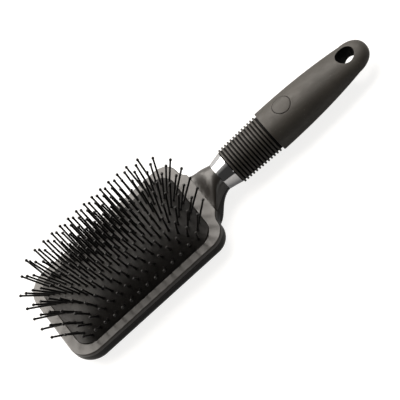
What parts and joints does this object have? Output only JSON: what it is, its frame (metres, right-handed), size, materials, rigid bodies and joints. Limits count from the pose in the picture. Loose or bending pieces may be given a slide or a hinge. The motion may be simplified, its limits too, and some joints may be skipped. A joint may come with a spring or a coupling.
{
  "type": "paddle brush",
  "caption": "Paddle hair brush with a crowned air cushion, ball-tip pins, chrome ferrule and soft-touch grip with a hang hole.",
  "frame": {"origin": "on the flat back of the paddle, under the middle of the cushion; the brush lies on its back", "axes": "+X from the paddle to the end of the handle, +Z the way the pins point, +Y across the paddle"},
  "size_m": [0.2551, 0.0824, 0.0454],
  "materials": {
    "shell_gloss": "polished black moulding",
    "frame_gloss": "polished black moulding",
    "cushion_rubber": "matte black rubber",
    "pin_nylon": "black nylon, smooth",
    "core_plastic": "hard black rod, as moulded",
    "ferrule_chrome": "polished chrome",
    "sleeve_soft": "soft-touch, matte",
    "grip_soft": "soft-touch, matte",
    "disc_plastic": "satin",
    "screw_steel": "plain steel"
  },
  "bodies": {
    "brush": {"back_shell": "shell_gloss", "face_frame": "frame_gloss", "handle_core": "core_plastic", "ferrule": "ferrule_chrome", "ribbed_sleeve": "sleeve_soft", "smooth_grip": "grip_soft", "thumb_disc": "disc_plastic", "grip_screw": "screw_steel"},
    "cushion": {"cushion": "cushion_rubber"},
    "pins_01": {"pin_row_01": "pin_nylon"},
    "pins_02": {"pin_row_02": "pin_nylon"},
    "pins_03": {"pin_row_03": "pin_nylon"},
    "pins_04": {"pin_row_04": "pin_nylon"},
    "pins_05": {"pin_row_05": "pin_nylon"},
    "pins_06": {"pin_row_06": "pin_nylon"},
    "pins_07": {"pin_row_07": "pin_nylon"},
    "pins_08": {"pin_row_08": "pin_nylon"},
    "pins_09": {"pin_row_09": "pin_nylon"},
    "pins_10": {"pin_row_10": "pin_nylon"},
    "pins_11": {"pin_row_11": "pin_nylon"},
    "pins_12": {"pin_row_12": "pin_nylon"},
    "pins_13": {"pin_row_13": "pin_nylon"}
  },
  "joints": [
    {"name": "cushion_press", "type": "slide", "parent": "brush", "child": "cushion", "axis": [0, 0, -1], "range_m": [0, 0.003], "stiffness_N_per_m": 3300, "deforming": ["cushion"]},
    {"name": "row_01_tilt", "type": "hinge", "parent": "cushion", "child": "pins_01", "pos_m": [0, 0.0276, 0.01669], "axis": [1, 0, 0], "range_deg": [-10, 10], "stiffness_Nm_per_rad": 0.5},
    {"name": "row_02_tilt", "type": "hinge", "parent": "cushion", "child": "pins_02", "pos_m": [0, 0.023, 0.02009], "axis": [1, 0, 0], "range_deg": [-10, 10], "stiffness_Nm_per_rad": 0.5},
    {"name": "row_03_tilt", "type": "hinge", "parent": "cushion", "child": "pins_03", "pos_m": [0, 0.0184, 0.02256], "axis": [1, 0, 0], "range_deg": [-10, 10], "stiffness_Nm_per_rad": 0.5},
    {"name": "row_04_tilt", "type": "hinge", "parent": "cushion", "child": "pins_04", "pos_m": [0, 0.0138, 0.02421], "axis": [1, 0, 0], "range_deg": [-10, 10], "stiffness_Nm_per_rad": 0.5},
    {"name": "row_05_tilt", "type": "hinge", "parent": "cushion", "child": "pins_05", "pos_m": [0, 0.0092, 0.02518], "axis": [1, 0, 0], "range_deg": [-10, 10], "stiffness_Nm_per_rad": 0.5},
    {"name": "row_06_tilt", "type": "hinge", "parent": "cushion", "child": "pins_06", "pos_m": [0, 0.0046, 0.02561], "axis": [1, 0, 0], "range_deg": [-10, 10], "stiffness_Nm_per_rad": 0.5},
    {"name": "row_07_tilt", "type": "hinge", "parent": "cushion", "child": "pins_07", "pos_m": [0, 0, 0.0257], "axis": [1, 0, 0], "range_deg": [-10, 10], "stiffness_Nm_per_rad": 0.5},
    {"name": "row_08_tilt", "type": "hinge", "parent": "cushion", "child": "pins_08", "pos_m": [0, -0.0046, 0.02561], "axis": [1, 0, 0], "range_deg": [-10, 10], "stiffness_Nm_per_rad": 0.5},
    {"name": "row_09_tilt", "type": "hinge", "parent": "cushion", "child": "pins_09", "pos_m": [0, -0.0092, 0.02518], "axis": [1, 0, 0], "range_deg": [-10, 10], "stiffness_Nm_per_rad": 0.5},
    {"name": "row_10_tilt", "type": "hinge", "parent": "cushion", "child": "pins_10", "pos_m": [0, -0.0138, 0.02421], "axis": [1, 0, 0], "range_deg": [-10, 10], "stiffness_Nm_per_rad": 0.5},
    {"name": "row_11_tilt", "type": "hinge", "parent": "cushion", "child": "pins_11", "pos_m": [0, -0.0184, 0.02256], "axis": [1, 0, 0], "range_deg": [-10, 10], "stiffness_Nm_per_rad": 0.5},
    {"name": "row_12_tilt", "type": "hinge", "parent": "cushion", "child": "pins_12", "pos_m": [0, -0.023, 0.02009], "axis": [1, 0, 0], "range_deg": [-10, 10], "stiffness_Nm_per_rad": 0.5},
    {"name": "row_13_tilt", "type": "hinge", "parent": "cushion", "child": "pins_13", "pos_m": [0, -0.0276, 0.01669], "axis": [1, 0, 0], "range_deg": [-10, 10], "stiffness_Nm_per_rad": 0.5}
  ]
}
